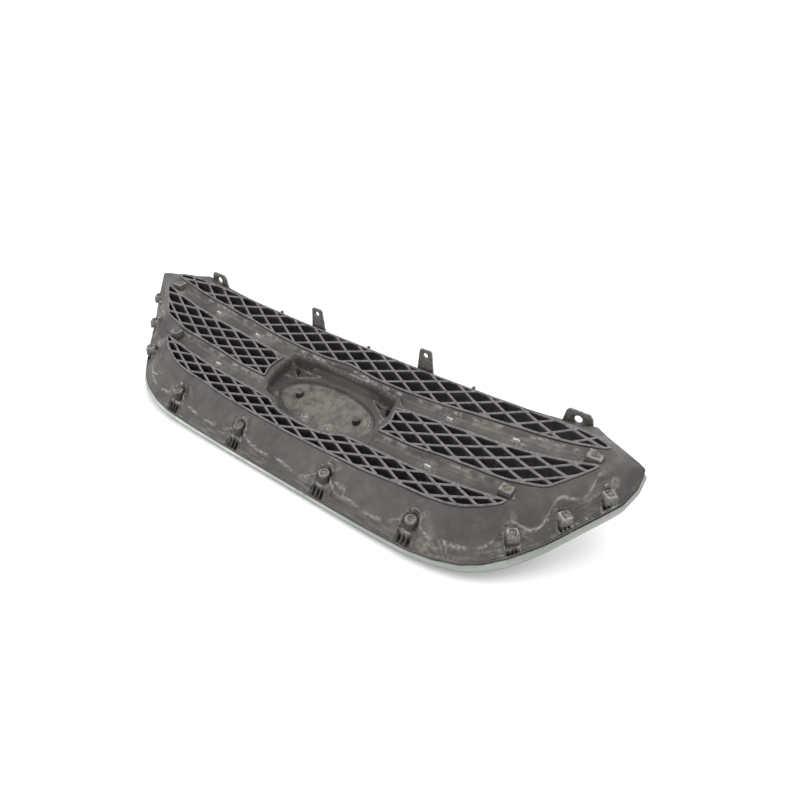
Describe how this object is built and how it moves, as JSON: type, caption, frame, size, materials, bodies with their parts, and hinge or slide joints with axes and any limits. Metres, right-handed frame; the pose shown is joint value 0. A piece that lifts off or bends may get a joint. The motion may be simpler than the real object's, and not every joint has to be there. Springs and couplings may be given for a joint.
{
  "type": "front grille",
  "caption": "Car front grille: black moulded shell with diamond mesh inserts, two bar rows, a blank oval badge, a bright surround and top mounting tabs",
  "frame": {"origin": "centre of the bounding box's bottom face; the grille lies face down on the floor", "axes": "+X across the car, +Y up on the car, +Z toward the rear of the car"},
  "size_m": [0.845, 0.2284, 0.1308],
  "materials": {
    "shell_plastic": "weathered satin black",
    "mesh_plastic": "dusty satin dark grey",
    "surround_chrome": "bright",
    "trim_chrome": "satin bright",
    "screw_steel": "dull zinc"
  },
  "bodies": {
    "root": {"body_shell": "shell_plastic", "chrome_surround": "surround_chrome", "mesh_upper": "mesh_plastic", "mesh_middle_right": "mesh_plastic", "mesh_middle_left": "mesh_plastic", "mesh_lower": "mesh_plastic", "trim_upper_right": "trim_chrome", "trim_upper_left": "trim_chrome", "trim_lower_right": "trim_chrome", "trim_lower_left": "trim_chrome", "badge_housing": "shell_plastic", "badge_face": "trim_chrome", "screw_badge_right": "screw_steel", "screw_badge_left": "screw_steel", "screw_upper_bar_right": "screw_steel", "screw_upper_bar_left": "screw_steel", "screw_lower_bar_right": "screw_steel", "screw_lower_bar_left": "screw_steel", "screw_station_1_right": "screw_steel", "screw_station_1_left": "screw_steel", "screw_station_2_right": "screw_steel", "screw_station_2_left": "screw_steel", "screw_station_3_right": "screw_steel", "screw_station_3_left": "screw_steel", "screw_station_4_right": "screw_steel", "screw_station_4_left": "screw_steel", "screw_station_5_right": "screw_steel", "screw_station_5_left": "screw_steel"}
  },
  "joints": []
}
